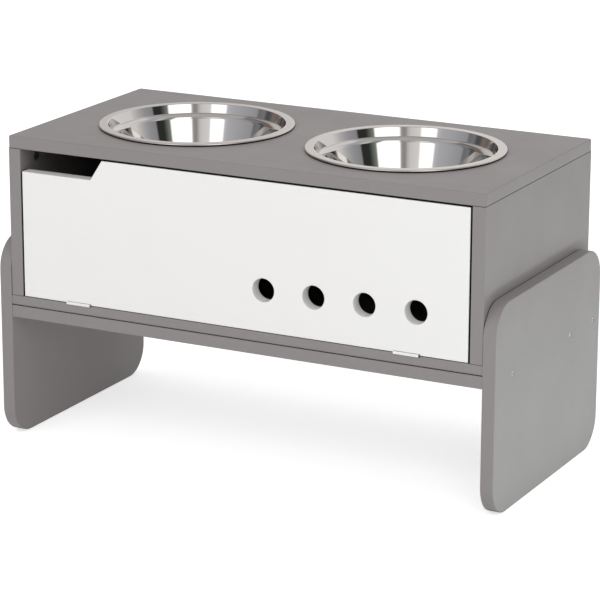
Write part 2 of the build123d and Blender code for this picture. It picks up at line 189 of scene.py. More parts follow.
def butt_joint_shade_lines(tree, place):
    """1 on the boards, falling to BUTT_SHADE on the painted shade line of each butt joint."""
    parts = add_node(tree, "ShaderNodeSeparateXYZ", {}, {0: place})
    aside = add_node(tree, "ShaderNodeMath", {"operation": "ABSOLUTE"}, {0: parts.outputs[0]})
    at_side = add_node(
        tree,
        "ShaderNodeMath",
        {"operation": "COMPARE", 1: BUTT_MIDDLE, 2: BUTT_HALF},
        {0: aside.outputs[0]},
    )
    lines = []
    for joint in BUTT_JOINTS:
        above = add_node(
            tree, "ShaderNodeMath", {"operation": "SUBTRACT", 1: joint}, {0: parts.outputs[2]}
        )
        away = add_node(tree, "ShaderNodeMath", {"operation": "ABSOLUTE"}, {0: above.outputs[0]})
        line = add_node(
            tree,
            "ShaderNodeMapRange",
            {
                "interpolation_type": "SMOOTHSTEP",
                "From Min": BUTT_LINE[0],
                "From Max": BUTT_LINE[1],
            },
            {"Value": away.outputs[0]},
        )
        lines.append(line.outputs[0])
    both = add_node(tree, "ShaderNodeMath", {"operation": "MAXIMUM"}, {0: lines[0], 1: lines[1]})
    shown = add_node(
        tree,
        "ShaderNodeMath",
        {"operation": "MULTIPLY"},
        {0: both.outputs[0], 1: at_side.outputs[0]},
    )
    return add_node(
        tree,
        "ShaderNodeMapRange",
        {"To Min": 1.0, "To Max": BUTT_SHADE},
        {"Value": shown.outputs[0]},
    ).outputs[0]


print("butt joints at", BUTT_JOINTS, "mm above the ground")

# %% [markdown]
# ## Satin lacquer on fibreboard
#
# The boards are medium-density fibreboard, sprayed with a satin lacquer in warm gray and, for the
# door, in off-white. Sprayed lacquer never dries quite flat: it keeps a fine ripple called orange
# peel, a millimetre or two from crest to crest. Its gloss also varies a little over a board, where
# more or less of it was sprayed. A photograph of the paint would show both, but it would tile and
# stretch; noise in the board's own millimetres has the right size on every board.
#
# Real orange peel of 1.5 mm is about one pixel wide here, so it is drawn 3 mm wide.

# %% Lacquer
PEEL_WIDTH = 3.0        # mm, from crest to crest
PEEL_HEIGHT = 0.012     # mm
GLOSS_PATCH = 70.0      # mm, size of the patches where the gloss changes
GLOSS_SPREAD = 0.04     # how much the roughness changes between them
LACQUER_IOR = 1.46      # dried nitrocellulose or acrylic lacquer
BOARD_SHADE = (0.5, 0.36)    # share of open sky where the painted shade starts, and where it is darkest


def lacquer(name, colour, shade, roughness, shades_butt_joints):
    """A sprayed satin lacquer: a colour with patches of a second shade, a ripple, and painted shade.
    """
    material, tree, shader = start_finish(name, IOR=LACQUER_IOR)
    place = millimetres(tree)
    patches = add_node(
        tree,
        "ShaderNodeTexNoise",
        {"Scale": 1 / GLOSS_PATCH, "Detail": 3.0, "Roughness": 0.6},
        {"Vector": place},
    )
    tint = add_node(
        tree,
        "ShaderNodeMix",
        {"data_type": "RGBA", 6: linear(colour), 7: linear(shade)},
        {"Factor": patches.outputs["Fac"]},
    )
    gloss = add_node(
        tree,
        "ShaderNodeMapRange",
        {
            "From Min": NOISE_SPAN[0],
            "From Max": NOISE_SPAN[1],
            "To Min": roughness - GLOSS_SPREAD,
            "To Max": roughness + GLOSS_SPREAD,
        },
        {"Value": patches.outputs["Fac"]},
    )
    peel = add_node(
        tree, "ShaderNodeTexNoise", {"Scale": 1 / PEEL_WIDTH, "Detail": 1.0}, {"Vector": place}
    )
    ripple = add_node(
        tree,
        "ShaderNodeBump",
        {"Strength": 1.0, "Distance": PEEL_HEIGHT * MM},
        {"Height": peel.outputs["Fac"]},
    )
    # Painted shade: the colour goes dark in narrow joints and corners, and along the butt joints.
    painted_shade = painted_hollow_shade(tree, *BOARD_SHADE)
    if shades_butt_joints:
        line = butt_joint_shade_lines(tree, place)
        painted_shade = add_node(
            tree, "ShaderNodeMath", {"operation": "MULTIPLY"}, {0: painted_shade, 1: line}
        ).outputs[0]
    worn = add_node(
        tree,
        "ShaderNodeMix",
        {"data_type": "RGBA", "blend_type": "MULTIPLY", "Factor": 1.0},
        {6: tint.outputs[2], 7: painted_shade},
    )
    tree.links.new(worn.outputs[2], shader.inputs["Base Color"])
    tree.links.new(gloss.outputs[0], shader.inputs["Roughness"])
    tree.links.new(ripple.outputs[0], shader.inputs["Normal"])
    return material


gray_lacquer = lacquer(
    "satin_lacquer_warm_gray", "8C8786", "8A8584", roughness=0.5, shades_butt_joints=True
)
white_lacquer = lacquer(
    "satin_lacquer_off_white", "F4F3F1", "F2F1EF", roughness=0.45, shades_butt_joints=False
)
print("lacquers:", gray_lacquer.name, white_lacquer.name)

# %% [markdown]
# ## Stainless steel, pressed and polished
#
# A feeding bowl is pressed from one sheet of stainless steel. The inside is polished almost to a
# mirror, the flat lip keeps a satin brush that runs round it, and the outside stays as it came
# from the press, duller still. Steel is a metal, so its colour is the tint of its reflection, and
# the default IOR stays.
#
# The polishing wheel leaves rings round the bowl's axis. Real ones are finer than a tenth of a
# millimetre; they are drawn 0.8 mm apart, to show, with hardly any height, so that they only
# soften the mirror.

# %% Steel
STEEL_TINT = "CFCBC8"
RING_SPACING = 0.8      # mm between the polishing rings


def bowl_steel(name, roughness, ring_height, spread):
    """Steel with rings of a height in mm round the axis; spread is how the roughness varies."""
    material, tree, shader = start_finish(name, Metallic=1.0)
    shader.inputs["Base Color"].default_value = linear(STEEL_TINT)
    place = millimetres(tree)
    across = add_node(
        tree, "ShaderNodeVectorMath", {"operation": "MULTIPLY", 1: (1.0, 1.0, 0.0)}, {0: place}
    )
    radius = add_node(
        tree, "ShaderNodeVectorMath", {"operation": "LENGTH"}, {0: across.outputs[0]}
    )
    height = add_node(tree, "ShaderNodeSeparateXYZ", {}, {0: place})
    ring_place = add_node(
        tree, "ShaderNodeCombineXYZ", {}, {0: radius.outputs["Value"], 1: height.outputs[2]}
    )
    rings = add_node(
        tree,
        "ShaderNodeTexNoise",
        {"Scale": 1 / RING_SPACING, "Detail": 2.0},
        {"Vector": ring_place.outputs[0]},
    )
    gloss = add_node(
        tree,
        "ShaderNodeMapRange",
        {
            "From Min": NOISE_SPAN[0],
            "From Max": NOISE_SPAN[1],
            "To Min": roughness - spread,
            "To Max": roughness + spread,
        },
        {"Value": rings.outputs["Fac"]},
    )
    wheel = add_node(
        tree,
        "ShaderNodeBump",
        {"Strength": 1.0, "Distance": ring_height * MM},
        {"Height": rings.outputs["Fac"]},
    )
    tree.links.new(gloss.outputs[0], shader.inputs["Roughness"])
    tree.links.new(wheel.outputs[0], shader.inputs["Normal"])
    return material


mirror_steel = bowl_steel(
    "stainless_steel_polished", roughness=0.045, ring_height=0.0003, spread=0.012
)
satin_steel = bowl_steel(
    "stainless_steel_satin_brushed", roughness=0.28, ring_height=0.003, spread=0.05
)
mill_steel = bowl_steel(
    "stainless_steel_mill_finish", roughness=0.34, ring_height=0.004, spread=0.06
)
print("steels:", mirror_steel.name, satin_steel.name, mill_steel.name)

# %% [markdown]
# The rolled edge rests on the board, and the narrow gap under it lies in shade. The joints' painted
# shade is used again to draw that shade as the dark line round each bowl; separate geometry for it
# would be thinner than a pixel. The brushed lip is also a little warmer than the polished steel,
# because light bounces between the walls of its fine grooves and takes on more of the steel's
# tint.

# %% Painted shade under the rolled edge
SATIN_TINT = "CFC8C3"
RIM_SHADE = (0.62, 0.42)     # painted shade on the edge from its middle down, where it faces the board

tree = satin_steel.node_tree
# Painted shade: the lip's tint goes dark on the lower half of the rolled edge.
shaded_rim = add_node(
    tree,
    "ShaderNodeMix",
    {"data_type": "RGBA", "blend_type": "MULTIPLY", "Factor": 1.0, 6: linear(SATIN_TINT)},
    {7: painted_hollow_shade(tree, *RIM_SHADE)},
)
tree.links.new(shaded_rim.outputs[2], tree.nodes["Principled BSDF"].inputs["Base Color"])
print("dust under the edge starts at", RIM_SHADE[0], "of open sky")

# %% [markdown]
# ## The bowls
#
# A bowl has the same section all the way round, so it is turned like a pot: a rounded outline is
# swept round the axis. A sphere or a scaled cylinder can't give the flat lip, the small ledge
# under it or the rolled edge. The modifier for this is Screw, but turning the outline in code
# keeps the exact surface normals of every bend. Polished steel shows each error of a normal as a
# kink in its reflection, so they are worked out from the outline, and not from the faces.

# %% Bends of an outline
ARC_STEP = math.radians(7.5)    # one straight piece of a bend turns by this much at most
SAME_SPOT = 1e-5        # mm, points closer than this are one


def rounded_outline(corners):
    """Follow (radius, height, bend) corners; give points with the normal on the left of the way."""
    spots = [Vector(c[:2]) for c in corners]
    points = []
    for i, (_, _, bend) in enumerate(corners):
        here = spots[i]
        if bend == 0:
            other = spots[i + 1] - here if i == 0 else here - spots[i - 1]
            way = other.normalized()
            points.append((here, Vector((-way.y, way.x))))
            continue
        into = (here - spots[i - 1]).normalized()
        out = (spots[i + 1] - here).normalized()
        turn = math.atan2(into.x * out.y - into.y * out.x, into.dot(out))
        side = math.copysign(1, turn)
        start = here - into * bend * math.tan(abs(turn) / 2)
        centre = start + Vector((-into.y, into.x)) * bend * side
        steps = max(2, math.ceil(abs(turn) / ARC_STEP))
        for step in range(steps + 1):
            spin = Matrix.Rotation(turn * step / steps, 2)
            arm = spin @ (start - centre)
            points.append((centre + arm, -arm.normalized() * side))
    # Where two bends meet with no straight between them, the point that they share is kept once.
    return points[:1] + [
        after for before, after in zip(points, points[1:])
        if (after[0] - before[0]).length > SAME_SPOT
    ]


quarter = rounded_outline([(0, 0, 0), (10, 0, 10), (10, 10, 0)])
print("a quarter bend takes", len(quarter), "points")

# %% [markdown]
# The outline starts at the middle of the bottom, runs up the inside to the lip, curls round the
# rolled edge, and comes back down the outside, one sheet thickness away.

# %% Bowl outline
# All sizes are in millimetres. Heights count from the board that the bowl rests on.
RIM_RADIUS = 110.75
SHEET = 0.8
ROLL_RADIUS = 1.4       # the rolled edge, seen in section
SEAT_GAP = 0.3          # the rolled edge rests this far above the board, on its lacquer
THROAT_RADIUS = 100.6
BAND_FOOT = (97.0, -7.4)    # radius and height at the foot of the upper band
WALL_TOP = (92.2, -9.0)     # the same at the ledge's inner end, where the wall starts
FLOOR_RADIUS = 74.5
DEPTH = 65.0
LIP_HEIGHT = SEAT_GAP + 2 * ROLL_RADIUS
HEM = 3.6               # how far the rolled edge returns under the lip
LIP_BEND = 1.0
BAND_BEND = 1.0
LEDGE_BEND = 8.5
FOOT_BEND = 20.0

inside = rounded_outline(
    [
        (0, -DEPTH, 0),
        (FLOOR_RADIUS, -DEPTH, FOOT_BEND),
        (*WALL_TOP, LEDGE_BEND),
        (*BAND_FOOT, BAND_BEND),
        (THROAT_RADIUS, LIP_HEIGHT, LIP_BEND),
        (RIM_RADIUS - ROLL_RADIUS, LIP_HEIGHT, 0),
    ]
)
inner_roll = ROLL_RADIUS - SHEET
hem_end = RIM_RADIUS - HEM
edge = rounded_outline(
    [
        (RIM_RADIUS - ROLL_RADIUS, LIP_HEIGHT, 0),
        (RIM_RADIUS, LIP_HEIGHT, ROLL_RADIUS),
        (RIM_RADIUS, SEAT_GAP, ROLL_RADIUS),
        (hem_end, SEAT_GAP, SHEET / 2),
        (hem_end, SEAT_GAP + SHEET, SHEET / 2),
        (RIM_RADIUS - SHEET, SEAT_GAP + SHEET, inner_roll),
        (RIM_RADIUS - SHEET, LIP_HEIGHT - SHEET, inner_roll),
        (RIM_RADIUS - ROLL_RADIUS, LIP_HEIGHT - SHEET, 0),
    ]
)[1:-1]
outside = [(point - normal * SHEET, -normal) for point, normal in reversed(inside)]
print("bowl outline:", len(inside), "points inside,", len(edge), "round the edge")

# %% [markdown]
# Turning the outline gives rings of points. Where the outline touches the axis, one point serves
# for the whole ring.

# %% Turning
TURNS = 240             # points in a ring
ON_AXIS = 1e-6          # mm


def turn_on_axis(name, outline, zone_of):
    """Sweep (point, normal) pairs in millimetres round Z. zone_of(i) gives a face's material."""
    vertices, normals, rings = [], [], []
    for point, normal in outline:
        count = 1 if point.x < ON_AXIS else TURNS
        rings.append(list(range(len(vertices), len(vertices) + count)))
        for step in range(count):
            angle = 2 * math.pi * step / TURNS
            around = (math.cos(angle), math.sin(angle))
            vertices.append((point.x * around[0] * MM, point.x * around[1] * MM, point.y * MM))
            normals.append((normal.x * around[0], normal.x * around[1], normal.y))
    faces, zones = [], []
    for i, (low, high) in enumerate(zip(rings, rings[1:])):
        for step in range(TURNS):
            after = (step + 1) % TURNS
            ring = [low[step % len(low)], low[after % len(low)]]
            ring += [high[after % len(high)], high[step % len(high)]]
            faces.append(list(dict.fromkeys(reversed(ring))))
            zones.append(zone_of(i))
    mesh = bpy.data.meshes.new(name)
    mesh.from_pydata(vertices, [], faces)
    mesh.polygons.foreach_set("material_index", zones)
    mesh.polygons.foreach_set("use_smooth", [True] * len(faces))
    mesh.normals_split_custom_set_from_vertices(normals)
    mesh.update()
    return mesh


print("a full ring has", TURNS, "points")

# %% [markdown]
# Faces on the lip and its edge take the satin steel, those inside the polished one, and those
# outside the mill finish. Both bowls share one mesh, as both come from one die. Each rides on its
# own body, so that it lifts out with it, and is shown in the place of the plain CAD bowl.

# %% Hang the bowls
LEVEL = 1e-4            # mm, a point within this of the lip's height is on the lip

lip_start = next(i for i, (point, _) in enumerate(inside) if point.y > LIP_HEIGHT - LEVEL)
lip_end = len(inside) + len(edge) - 1


def bowl_zone(i):
    """0 for the polished inside, 1 for the satin lip and edge, 2 for the outside."""
    if i < lip_start:
        return 0
    return 1 if i <= lip_end else 2


bowl_mesh = turn_on_axis("bowl", inside + edge + outside, bowl_zone)
for steel in (mirror_steel, satin_steel, mill_steel):
    bowl_mesh.materials.append(steel)

for side in ("left", "right"):
    low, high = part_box(f"{side}_bowl")
    bowl = bpy.data.objects.new(f"{side}_pressed_bowl", bowl_mesh)
    bpy.context.scene.collection.objects.link(bowl)
    middle = (low + high) / 2
    bowl.location = (middle.x, middle.y, high.z - LIP_HEIGHT * MM)
    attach(bowl, f"{side}_bowl")
    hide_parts(f"{side}_bowl")
    print(bowl.name, "at", [round(v / MM, 1) for v in bowl.location], "mm")
print("faces in one bowl:", len(bowl_mesh.polygons))

# %% [markdown]
# ## Zinc plating and zinc castings
#
# Chipboard screws are steel with a thin, bright zinc plating: bluish, smooth, and a little cloudy.
# The cam fittings are cast from zinc and tumbled with stones, so they are darker and have a fine,
# uneven surface. Both are metals with the default IOR.

# %% Zinc
CLOUD = 2.5             # mm, the plating's cloudy spots
TUMBLE = 0.6            # mm, the marks that tumbling leaves on a casting
ZINC_SPREAD = 0.08      # how much the roughness varies with either


def zinc(name, colour, shade, roughness, grain, height):
    """A zinc surface, cloudy at the given grain, with a bump of the given height in millimetres."""
    material, tree, shader = start_finish(name, Metallic=1.0)
    place = millimetres(tree)
    cloud = add_node(
        tree, "ShaderNodeTexNoise", {"Scale": 1 / grain, "Detail": 4.0}, {"Vector": place}
    )
    tint = add_node(
        tree,
        "ShaderNodeMix",
        {"data_type": "RGBA", 6: linear(colour), 7: linear(shade)},
        {"Factor": cloud.outputs["Fac"]},
    )
    gloss = add_node(
        tree,
        "ShaderNodeMapRange",
        {
            "From Min": NOISE_SPAN[0],
            "From Max": NOISE_SPAN[1],
            "To Min": roughness - ZINC_SPREAD,
            "To Max": roughness + ZINC_SPREAD,
        },
        {"Value": cloud.outputs["Fac"]},
    )
    bump = add_node(
        tree,
        "ShaderNodeBump",
        {"Strength": 1.0, "Distance": height * MM},
        {"Height": cloud.outputs["Fac"]},
    )
    tree.links.new(tint.outputs[2], shader.inputs["Base Color"])
    tree.links.new(gloss.outputs[0], shader.inputs["Roughness"])
    tree.links.new(bump.outputs[0], shader.inputs["Normal"])
    return material


zinc_plating = zinc(
    "zinc_plated_steel_bright", "BCBEBF", "ABADAF", roughness=0.27, grain=CLOUD, height=0.004
)
zinc_casting = zinc(
    "zinc_die_cast_tumbled", "B9BABB", "A4A5A6", roughness=0.38, grain=TUMBLE, height=0.02
)
print("zincs:", zinc_plating.name, zinc_casting.name)

# %% [markdown]
# ## Enamel and plastic
#
# The hinges are stamped steel with a baked white enamel, harder and glossier than the lacquer. It
# melts in the oven and sets in shallow waves under a clear, glossy skin, which is the shader's
# coat. The magnetic catch has a housing of polypropylene, dull from the fine texture of its mould.

# %% Enamel and plastic
ENAMEL_FLOW = 1.2       # mm, from wave to wave
ENAMEL_WAVE = 0.01      # mm high
SPARK_MARKS = 0.4       # mm, the mould's spark-eroded texture
SPARK_DEPTH = 0.03      # mm


def baked_enamel():
    """A glossy white enamel with the shallow waves of its flow."""
    material, tree, shader = start_finish(
        "baked_enamel_white", IOR=1.5, Coat_Weight=0.4, Coat_Roughness=0.08
    )
    place = millimetres(tree)
    flow = add_node(
        tree, "ShaderNodeTexNoise", {"Scale": 1 / ENAMEL_FLOW, "Detail": 2.0}, {"Vector": place}
    )
    tint = add_node(
        tree,
        "ShaderNodeMix",
        {"data_type": "RGBA", 6: linear("F5F5F3"), 7: linear("EFEFEC")},
        {"Factor": flow.outputs["Fac"]},
    )
    gloss = add_node(
        tree, "ShaderNodeMapRange", {"To Min": 0.22, "To Max": 0.34}, {"Value": flow.outputs["Fac"]}
    )
    skin = add_node(
        tree, "ShaderNodeBump", {"Distance": ENAMEL_WAVE * MM}, {"Height": flow.outputs["Fac"]}
    )
    tree.links.new(tint.outputs[2], shader.inputs["Base Color"])
    tree.links.new(gloss.outputs[0], shader.inputs["Roughness"])
    tree.links.new(skin.outputs[0], shader.inputs["Normal"])
    return material


def moulded_plastic():
    """Polypropylene with the fine spark-eroded texture of its mould."""
    material, tree, shader = start_finish("polypropylene_moulded_white", IOR=1.49)
    place = millimetres(tree)
    texture = add_node(
        tree, "ShaderNodeTexNoise", {"Scale": 1 / SPARK_MARKS, "Detail": 3.0}, {"Vector": place}
    )
    gloss = add_node(
        tree,
        "ShaderNodeMapRange",
        {"To Min": 0.4, "To Max": 0.6},
        {"Value": texture.outputs["Fac"]},
    )
    skin = add_node(
        tree, "ShaderNodeBump", {"Distance": SPARK_DEPTH * MM}, {"Height": texture.outputs["Fac"]}
    )
    shader.inputs["Base Color"].default_value = linear("DEDCD8")
    tree.links.new(gloss.outputs[0], shader.inputs["Roughness"])
    tree.links.new(skin.outputs[0], shader.inputs["Normal"])
    return material


white_enamel, white_plastic = baked_enamel(), moulded_plastic()
print("made", white_enamel.name, "and", white_plastic.name)

# %% [markdown]
# ## Ferrite and beech
#
# Inside the catch sits a black magnet of ferrite, a powder that is pressed and baked like pottery,
# dull, with pits between its grains, which a cell pattern gives. The dowels are plain turned
# beech, whose short dark flecks run along the dowel: noise that is stretched along one axis draws
# them. The flecks and grains are about as large as the real ones, and show only in a close view.

# %% Ferrite and beech
FERRITE_GRAIN = 0.3     # mm
PIT_DEPTH = 0.03        # mm
BEECH_FLECK = 0.5       # mm across the grain
FLECK_STRETCH = 0.12    # a fleck is about eight times as long as it is wide
FIBRE_HEIGHT = 0.04     # mm


def pressed_ferrite():
    """Black sintered ferrite: dull, and slightly pitted by its grains."""
    material, tree, shader = start_finish("ferrite_sintered", IOR=2.0)
    place = millimetres(tree)
    grains = add_node(tree, "ShaderNodeTexVoronoi", {"Scale": 1 / FERRITE_GRAIN}, {"Vector": place})
    tint = add_node(
        tree,
        "ShaderNodeMix",
        {"data_type": "RGBA", 6: linear("2B2A2B"), 7: linear("3A393A")},
        {"Factor": grains.outputs["Distance"]},
    )
    pits = add_node(
        tree,
        "ShaderNodeBump",
        {"Distance": PIT_DEPTH * MM},
        {"Height": grains.outputs["Distance"]},
    )
    shader.inputs["Roughness"].default_value = 0.6
    tree.links.new(tint.outputs[2], shader.inputs["Base Color"])
    tree.links.new(pits.outputs[0], shader.inputs["Normal"])
    return material


def turned_beech():
    """Beech with its short dark flecks, drawn out along the dowel's upright axis."""
    material, tree, shader = start_finish("beech_turned", IOR=1.5)
    place = millimetres(tree)
    along = add_node(
        tree,
        "ShaderNodeVectorMath",
        {"operation": "MULTIPLY", 1: (1.0, 1.0, FLECK_STRETCH)},
        {0: place},
    )
    flecks = add_node(
        tree,
        "ShaderNodeTexNoise",
        {"Scale": 1 / BEECH_FLECK, "Detail": 3.0},
        {"Vector": along.outputs[0]},
    )
    tint = add_node(
        tree,
        "ShaderNodeMix",
        {"data_type": "RGBA", 6: linear("D9B78C"), 7: linear("B98F62")},
        {"Factor": flecks.outputs["Fac"]},
    )
    fibres = add_node(
        tree, "ShaderNodeBump", {"Distance": FIBRE_HEIGHT * MM}, {"Height": flecks.outputs["Fac"]}
    )
    shader.inputs["Roughness"].default_value = 0.62
    tree.links.new(tint.outputs[2], shader.inputs["Base Color"])
    tree.links.new(fibres.outputs[0], shader.inputs["Normal"])
    return material


ferrite, beech = pressed_ferrite(), turned_beech()
print("made", ferrite.name, "and", beech.name)

# %% [markdown]
# ## Dressing the CAD pieces
#
# The record says which slot each node takes its finish from, so one loop dresses them all. They
# could be dressed one by one by hand, but then a new piece would be easy to miss.

# %% Assign the finishes
finishes = {
    "gray_board": gray_lacquer,
    "white_board": white_lacquer,
    "bowl_steel": mirror_steel,
    "white_hinge": white_enamel,
    "zinc_plated_steel": zinc_plating,
    "zinc_casting": zinc_casting,
    "catch_plastic": white_plastic,
    "ferrite": ferrite,
    "beech": beech,
}
slot_of = {piece["node"]: piece["material_slot"] for piece in frame["record"]["subparts"]}
for name, node in nodes.items():
    node.data.materials.clear()
    node.data.materials.append(finishes[slot_of[name]])
print("dressed", len(slot_of), "nodes in", len(finishes), "finishes")

# %% [markdown]
# ## Screws with a thread
#
# CAD holds each screw as a plain cone and shank. A real chipboard screw has a coarse thread on a
# thinner core, and a point. Blender's Screw modifier could wind a ridge round the core as a piece
# of its own, but one skin is cleaner: it starts from rows of points from the head down.

# %% Screw rows
PITCH_SHARE = 0.9       # thread pitch as a share of the shank's diameter
PITCH_STEPS = 8         # rows of points in one pitch
CORE_SHARE = 0.68       # radius of the core as a share of the shank's
HEAD_EDGE = 0.15        # mm, the upright edge of the head
RUN_OUT = 0.1           # mm, how much thicker than the core the screw is where its thread starts
POINT_ROWS = (0.25, 0.5, 0.75)  # where the point has rows, as shares of its length


def screw_rows(head, shank, length):
    """Rows of (height, radius, share of the thread's height) from the head down, in millimetres."""
    pitch = 2 * shank * PITCH_SHARE
    core = shank * CORE_SHARE
    neck = head - shank
    point = 2 * shank
    depth = -neck - pitch
    rows = [(0.0, head, 0.0), (-HEAD_EDGE, head, 0.0), (-neck, shank, 0.0)]
    rows.append((depth, core + RUN_OUT, 0.0))
    while depth > -length + point:
        depth -= pitch / PITCH_STEPS
        rows.append((depth, core, 1.0))
    for share in POINT_ROWS:
        rows.append((depth - (length + depth) * share, core * (1 - share), 1.0 - share))
    return rows


print("a screw of 25 mm has", len(screw_rows(3.4, 1.9, 25.0)), "rows")

# %% [markdown]
# The body is turned from these rows like the bowl. The thread is a wave in the radius that climbs
# by one pitch in each turn: a ridge with straight flanks, and flat ground between its turns.

# %% Screw body
SCREW_SIDES = 24
RIDGE_SHARE = 0.5       # of the pitch is ridge, the rest is flat


def screw_mesh(name, head, shank, length):
    """A countersunk screw in millimetres, head up at the zero level, with its thread."""
    pitch = 2 * shank * PITCH_SHARE
    core = shank * CORE_SHARE
    rows = screw_rows(head, shank, length)
    vertices = []
    for z, radius, ridge in rows:
        for side in range(SCREW_SIDES):
            angle = 2 * math.pi * side / SCREW_SIDES
            phase = (z / pitch - side / SCREW_SIDES) % 1.0
            crest = max(0.0, 1 - abs(phase - 0.5) * 2 / RIDGE_SHARE)
            r = radius + (shank - core) * crest * ridge
            vertices.append((r * math.cos(angle), r * math.sin(angle), z))
    top, tip = len(vertices), len(vertices) + 1
    vertices += [(0, 0, 0), (0, 0, -length)]
    faces = []
    for row in range(len(rows) - 1):
        for side in range(SCREW_SIDES):
            after = (side + 1) % SCREW_SIDES
            a, b = row * SCREW_SIDES, (row + 1) * SCREW_SIDES
            faces.append((a + after, a + side, b + side, b + after))
    last = (len(rows) - 1) * SCREW_SIDES
    for side in range(SCREW_SIDES):
        after = (side + 1) % SCREW_SIDES
        faces.append((top, side, after))
        faces.append((tip, last + after, last + side))
    mesh = bpy.data.meshes.new(name)
    mesh.from_pydata([Vector(v) * MM for v in vertices], [], faces)
    return mesh


print("each row has", SCREW_SIDES, "points")

# %% [markdown]
# ## The cross recess
#
# The head has a cross-shaped recess for the driver. It could be painted as a bump, but its edges
# catch the light, so it is cut out of the head. The cutter is two crossed blades that get smaller
# downward, as the driver's tip does.

# %% Cross cutter
RECESS = (0.54, 0.34, 0.5)      # an arm's reach and width, and the depth, in head radii
CUTTER_TOP = (1.1, 0.55)        # half length and half width there, as shares of reach and width
CUTTER_FOOT = (0.35, 0.3)       # the same at the recess's ground
CUTTER_RISE = 0.3               # mm, the cutter stands out of the head, so that it cuts cleanly
CORNERS = ((-1, -1), (1, -1), (1, 1), (-1, 1))
BLADE_FACES = (
    (0, 1, 2, 3),
    (7, 6, 5, 4),
    (1, 0, 4, 5),
    (2, 1, 5, 6),
    (3, 2, 6, 7),
    (0, 3, 7, 4),
)


def cross_cutter(name, head):
    """Two crossed, tapering blades whose union is the recess in a head of this radius."""
    reach, width, depth = (head * share for share in RECESS)
    vertices, faces = [], []
    for turn in (0, math.pi / 2):
        base = len(vertices)
        for z, (long_share, wide_share) in ((CUTTER_RISE, CUTTER_TOP), (-depth, CUTTER_FOOT)):
            for x, y in CORNERS:
                spot = Vector((x * reach * long_share, y * width * wide_share, z))
                vertices.append(Matrix.Rotation(turn, 3, "Z") @ spot * MM)
        faces += [[base + i for i in face] for face in BLADE_FACES]
    mesh = bpy.data.meshes.new(name)
    mesh.from_pydata(vertices, [], faces)
    return mesh


print("a recess is", RECESS[2], "of the head's radius deep")

# %% [markdown]
# A Boolean modifier takes the cutter's shape out of the head. Both blades are in one mesh and
# cross each other, which the exact solver handles when it is told so. Reading the evaluated mesh
# applies the modifier, and the two work objects go again.


# %% Cut a shape out
def cut(target, cutter):
    """The target's mesh with the cutter's shape taken out of it."""
    pair = [bpy.data.objects.new("work", mesh) for mesh in (target, cutter)]
    for obj in pair:
        bpy.context.scene.collection.objects.link(obj)
    modifier = pair[0].modifiers.new("recess", "BOOLEAN")
    modifier.object = pair[1]
    modifier.operation = "DIFFERENCE"
    modifier.solver = "EXACT"
    modifier.use_self = True
    bpy.context.view_layer.update()
    graph = bpy.context.evaluated_depsgraph_get()
    result = bpy.data.meshes.new_from_object(pair[0].evaluated_get(graph))
    for obj in pair:
        bpy.data.objects.remove(obj)
    return result


print("cutting is ready")

# %% [markdown]
# ## Rows of screws
#
# Each node of the frame holds a row of equal screws. Typing in every screw's place would repeat
# what the CAD model knows, so the script measures each screw's box in the node. Two screws of a
# row stand well apart, so a wide gap between the points of the mesh tells them from each other.

# %% Find and join screws
APART = 4.0             # mm, the least space between two screws of a row
SHARP_ANGLE = math.radians(32)  # faces that meet at more than this keep a sharp edge


def solids_in(node, lengthwise):
    """The corners of each screw in a node, told apart by the space across their length."""
    points = np.array([v.co for v in nodes[node].data.vertices])
    groups = [points]
    for axis in {0, 1, 2} - {lengthwise}:
        split = []
        for group in groups:
            group = group[group[:, axis].argsort()]
            breaks = np.flatnonzero(np.diff(group[:, axis]) > APART * MM) + 1
            split += np.split(group, breaks)
        groups = split
    return [(Vector(g.min(0)), Vector(g.max(0))) for g in groups]


def join_row(name, meshes):
    """One object from several placed meshes."""
    vertices, faces = [], []
    for mesh, matrix in meshes:
        base = len(vertices)
        vertices += [matrix @ v.co for v in mesh.vertices]
        faces += [[base + i for i in p.vertices] for p in mesh.polygons]
    joined = bpy.data.meshes.new(name)
    joined.from_pydata(vertices, [], faces)
    joined.polygons.foreach_set("use_smooth", [True] * len(faces))
    joined.set_sharp_from_angle(angle=SHARP_ANGLE)
    joined.materials.append(zinc_plating)
    obj = bpy.data.objects.new(name, joined)
    bpy.context.scene.collection.objects.link(obj)
    return obj


print("the left leg has", len(solids_in("left_leg_screws", 0)), "screws")

# %% [markdown]
# A detailed screw takes the place of each plain one, with its head where the CAD head is, and the
# row becomes one piece that rides on the same body. The leg screws look outward, and sit a little
# deeper than the board's face in their countersinks, which are wider than their heads.

# %% Place the screws
SCREWS = {  # node ending: head and shank radius, length, how deep it is sunk, where the head looks
    "leg_screws": (2.8, 1.9, 39.4, 0.6, None),
    "base_screws": (3.4, 1.9, 25.0, 0.0, (0, 0, -1)),
    "floor_screws": (3.4, 1.9, 35.0, 0.0, (0, 0, -1)),
    "frame_screws": (2.1, 1.1, 10.0, 0.0, (0, 0, 1)),
    "door_screws": (2.1, 1.1, 10.0, 0.0, (0, 0, -1)),
    "catch_screws": (2.8, 1.4, 12.0, 0.0, (0, 0, -1)),
    "strike_screw": (2.8, 1.4, 12.0, 0.0, (0, 1, 0)),
}
OUTWARD = {"left": (-1, 0, 0), "right": (1, 0, 0)}
DRIVER_TURNS = (20, 65, 130, 40)    # degrees: nobody leaves all the slots in line

